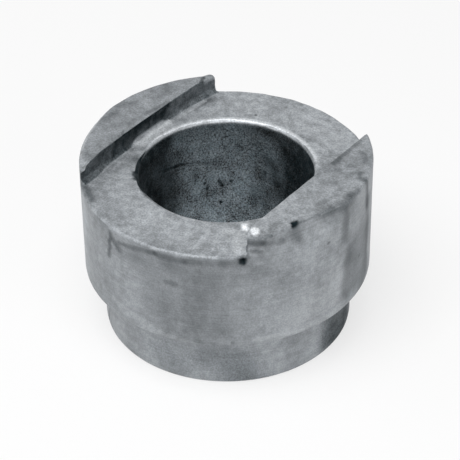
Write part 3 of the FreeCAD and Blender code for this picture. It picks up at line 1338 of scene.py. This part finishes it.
@dataclass(frozen=True)
class WornSteel:
    """Dull grey machined steel, mottled, stained, with painted shade and darker upright sides, brighter where
    it is rubbed and where a highlight is painted.
    """

    name: str = "worn_steel"
    dark: tuple[float, float, float, float] = (0.155, 0.168, 0.178, 1)
    light: tuple[float, float, float, float] = (0.43, 0.455, 0.48, 1)
    # The oxide colour takes both stains and painted shade; the rubbed colour takes both rubbed metal and
    # painted highlights.
    oxide_and_shade: tuple[float, float, float, float] = (0.008, 0.014, 0.017, 1)
    damp: tuple[float, float, float, float] = (0.10, 0.165, 0.20, 1)
    rubbed_and_highlight: tuple[float, float, float, float] = (0.80, 0.83, 0.86, 1)
    metallic: float = 0.5
    roughness: float = 0.52
    # Painted shade: the upright turned sides are made a little darker than the tops.
    side_shade_gain: float = -0.05

    def make(self) -> bpy.types.Material:
        """Make the finish.

        Returns:
            The new material.
        """
        material = bpy.data.materials.new(self.name)
        graph = Graph(material)
        stain_and_shade, polish_and_highlight, turned, grit = (graph.coat(coat) for coat in Coat)
        cloud = graph.noise(170, 4)
        mottle = graph.noise(900, 4)
        grain = graph.noise(4400, 3)
        sand = graph.noise(4000, 1)
        film = graph.noise(420, 3)
        drip = graph.noise(190, 3, (1, 1, 0.14))
        streak = graph.noise(110, 3, (1, 1, 26))
        fine_streak = graph.noise(260, 2, (1, 1, 30))
        tone = graph.math("ADD", 0.5, graph.swing(cloud, 1.1))
        lively = graph.math("SUBTRACT", 1.5, graph.math("MULTIPLY", turned, 0.65))
        tone = graph.math("ADD", tone, graph.swing(mottle, lively))
        for pattern, amount in ((streak, 0.3), (fine_streak, 0.35), (drip, 0.9)):
            tone = graph.math("ADD", tone, graph.math("MULTIPLY", turned, graph.swing(pattern, amount)))
        # Painted shade on the upright sides.
        tone = graph.math("ADD", tone, graph.math("MULTIPLY", turned, self.side_shade_gain), clamp=True)
        steel = graph.mix(tone, self.dark, self.light)
        steel = graph.mix(graph.math("MULTIPLY", grit, 0.5), steel, self.damp)
        # Stains and painted shade, broken up by the mottle, darken the steel towards the oxide colour.
        blotch = graph.math("ADD", 0.7, graph.math("MULTIPLY", mottle, 0.6))
        patchy = graph.math("MULTIPLY", stain_and_shade, blotch, clamp=True)
        steel = graph.mix(patchy, steel, self.oxide_and_shade)
        # Rubbed metal and painted highlights lighten the steel towards one pale colour.
        steel = graph.mix(polish_and_highlight, steel, self.rubbed_and_highlight)
        smoother = graph.math("SUBTRACT", 1.4, graph.math("MULTIPLY", turned, 0.6))
        amount = graph.math("ADD", smoother, graph.math("MULTIPLY", grit, 3.4))
        filmy = graph.swing(film, graph.math("MULTIPLY", grit, 2.2))
        shade = graph.math("ADD", 1.0, graph.math("ADD", graph.swing(grain, amount), filmy))
        steel = graph.colours("SCALE", steel, graph.math("MAXIMUM", 0.1, shade), "Scale")
        sparkle = graph.math("MAXIMUM", 0.0, graph.swing(sand, graph.math("MULTIPLY", grit, 0.4)))
        dimmed = graph.math("SUBTRACT", 1.0, graph.math("MULTIPLY", patchy, 0.6))
        steel = graph.colours("ADD", steel, graph.math("MULTIPLY", sparkle, dimmed), 1)
        shine = graph.math("MULTIPLY_ADD", patchy, -0.45)
        graph.put(0.5, shine.node.inputs[2])
        graph.put(shine, graph.shader.inputs["Specular IOR Level"])
        graph.put(steel, graph.shader.inputs["Base Color"])
        graph.put(self.metallic, graph.shader.inputs["Metallic"])
        rough = graph.math("ADD", self.roughness, graph.swing(mottle, 0.25))
        rough = graph.math("ADD", rough, graph.math("MULTIPLY", patchy, 0.2))
        rough = graph.math("SUBTRACT", rough, graph.math("MULTIPLY", polish_and_highlight, 0.15))
        graph.put(rough, graph.shader.inputs["Roughness"])
        bump = graph.tree.nodes.new("ShaderNodeBump")
        bump.inputs["Strength"].default_value = 0.35
        bump.inputs["Distance"].default_value = 0.00004
        height = graph.math("ADD", graph.swing(mottle, 1.0), graph.swing(grain, 0.5))
        graph.put(height, bump.inputs["Height"])
        graph.put(bump.outputs[0], graph.shader.inputs["Normal"])
        return material


@dataclass(frozen=True)
class Lamp:
    """A soft square lamp that points at the bushing, placed by its direction."""

    name: str
    azimuth: float
    elevation: float
    distance: float
    size: float
    watts: float
    aim_height: float = 0.015

    def add(self) -> None:
        """Add the lamp to the scene.

        Returns:
            Nothing, as the scene holds the lamp.
        """
        back = way_to(self.azimuth, self.elevation)
        data = bpy.data.lights.new(self.name, "AREA")
        data.size = self.size
        data.energy = self.watts
        obj = bpy.data.objects.new(self.name, data)
        obj.location = back * self.distance + Vector((0, 0, self.aim_height))
        obj.rotation_mode = "QUATERNION"
        obj.rotation_quaternion = (-back).to_track_quat("-Z", "Y")
        bpy.context.scene.collection.objects.link(obj)


@dataclass(frozen=True)
class Studio:
    """Plain pale floor, soft lights and the camera at the photograph's place."""

    azimuth: float = 37.66
    elevation: float = 34.88
    roll: float = -0.78
    distance: float = 269.85
    focal_pixels: float = 1974.3
    floor_centre_pixel: tuple[float, float] = (226.35, 169.10)
    world_strength: float = 0.25
    floor_size: float = 3.0
    floor_colour: tuple[float, float, float, float] = (0.9, 0.9, 0.9, 1)
    floor_glow: float = 0.7
    lamps: tuple[Lamp, ...] = (
        Lamp("key", 10, 68, 0.5, 0.4, 2.3),
        Lamp("left", -55, 15, 0.5, 0.3, 0.45),
        Lamp("right", 85, 15, 0.5, 0.2, 0.4),
    )

    def camera(self, target: Vector) -> bpy.types.Object:
        """Make the camera, which sees the target at its pixel of the photograph.

        Args:
            target: The slot floor's centre in metres.

        Returns:
            The scene's camera.
        """
        a, roll = math.radians(self.azimuth), math.radians(self.roll)
        back = way_to(self.azimuth, self.elevation)
        right = Vector((math.cos(a), math.sin(a), 0.0))
        up = back.cross(right)
        u, v = (pixel - IMAGE_SIZE / 2 for pixel in self.floor_centre_pixel)
        across = -(u * math.cos(roll) + v * math.sin(roll))
        down = -(-u * math.sin(roll) + v * math.cos(roll))
        forward = (-back * self.focal_pixels + right * across - up * down).normalized()
        right = (right - forward * right.dot(forward)).normalized()
        up = right.cross(forward)
        rolled_right = right * math.cos(roll) + up * math.sin(roll)
        rolled_up = up * math.cos(roll) - right * math.sin(roll)
        data = bpy.data.cameras.new("camera")
        data.sensor_width = SENSOR_WIDTH
        data.lens = self.focal_pixels / IMAGE_SIZE * SENSOR_WIDTH
        data.clip_start = 0.01
        data.clip_end = 20.0
        obj = bpy.data.objects.new("camera", data)
        place = target + back * self.distance * MM
        axes = Matrix((rolled_right, rolled_up, -forward)).transposed().to_4x4()
        obj.matrix_world = Matrix.Translation(place) @ axes
        bpy.context.scene.collection.objects.link(obj)
        bpy.context.scene.camera = obj
        return obj

    @staticmethod
    def seen_share(tree: bpy.types.NodeTree) -> bpy.types.NodeSocket:
        """Tell the rays that show their surface, seen, mirrored or through glass, from the others.

        Args:
            tree: The nodes of the world or of a material.

        Returns:
            An output that is 1 for such a ray and 0 for the others.
        """
        path = tree.nodes.new("ShaderNodeLightPath")
        total = path.outputs["Is Camera Ray"]
        for name in ("Is Glossy Ray", "Is Transmission Ray"):
            node = tree.nodes.new("ShaderNodeMath")
            node.operation = "MAXIMUM"
            tree.links.new(total, node.inputs[0])
            tree.links.new(path.outputs[name], node.inputs[1])
            total = node.outputs[0]
        return total

    def world(self) -> None:
        """Light the scene evenly, and show white behind it.

        Returns:
            Nothing, as the scene holds the world.
        """
        world = bpy.data.worlds.new("studio")
        world.use_nodes = True
        bpy.context.scene.world = world
        tree = world.node_tree
        background = tree.nodes["Background"]
        background.inputs["Color"].default_value = (1, 1, 1, 1)
        blend = tree.nodes.new("ShaderNodeMix")
        blend.data_type = "FLOAT"
        blend.inputs[2].default_value = self.world_strength
        blend.inputs[3].default_value = 1.0
        tree.links.new(self.seen_share(tree), blend.inputs[0])
        tree.links.new(blend.outputs[0], background.inputs["Strength"])

    def floor(self) -> bpy.types.Object:
        """Make a wide pale floor at the bushing's foot.

        Returns:
            The floor, linked to the scene.
        """
        mesh = bmesh.new()
        bmesh.ops.create_grid(mesh, x_segments=2, y_segments=2, size=self.floor_size)
        data = bpy.data.meshes.new("floor")
        mesh.to_mesh(data)
        mesh.free()
        obj = bpy.data.objects.new("floor", data)
        bpy.context.scene.collection.objects.link(obj)
        material = bpy.data.materials.new("floor_white")
        material.use_nodes = True
        tree = material.node_tree
        shader = tree.nodes["Principled BSDF"]
        shader.inputs["Base Color"].default_value = self.floor_colour
        shader.inputs["Roughness"].default_value = 0.8
        shader.inputs["Specular IOR Level"].default_value = 0.2
        glow = tree.nodes.new("ShaderNodeEmission")
        blend = tree.nodes.new("ShaderNodeMixShader")
        share = tree.nodes.new("ShaderNodeMath")
        share.operation = "MULTIPLY"
        share.inputs[1].default_value = self.floor_glow
        tree.links.new(self.seen_share(tree), share.inputs[0])
        tree.links.new(share.outputs[0], blend.inputs["Fac"])
        tree.links.new(shader.outputs[0], blend.inputs[1])
        tree.links.new(glow.outputs[0], blend.inputs[2])
        tree.links.new(blend.outputs[0], tree.nodes["Material Output"].inputs["Surface"])
        obj.data.materials.append(material)
        return obj


def main() -> None:
    """Build the bushing and its studio.

    Returns:
        Nothing, as the scene holds what was built.
    """
    logging.basicConfig(level=logging.INFO, format="%(name)s: %(message)s")
    noise.seed_set(NOISE_SEED)
    sizes = BushingSizes.from_record(frame["record"], CAD_BOX[1][2])
    piece = BushingBody(sizes).build()
    piece.data.materials.append(WornSteel().make())
    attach(piece, "root")
    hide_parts("bushing")
    studio = Studio()
    studio.camera(Vector((0.0, 0.0, sizes.floor * MM)))
    for lamp in studio.lamps:
        lamp.add()
    studio.world()
    studio.floor()
    bpy.context.scene.view_settings.view_transform = "Standard"


if __name__ == "__main__":
    main()
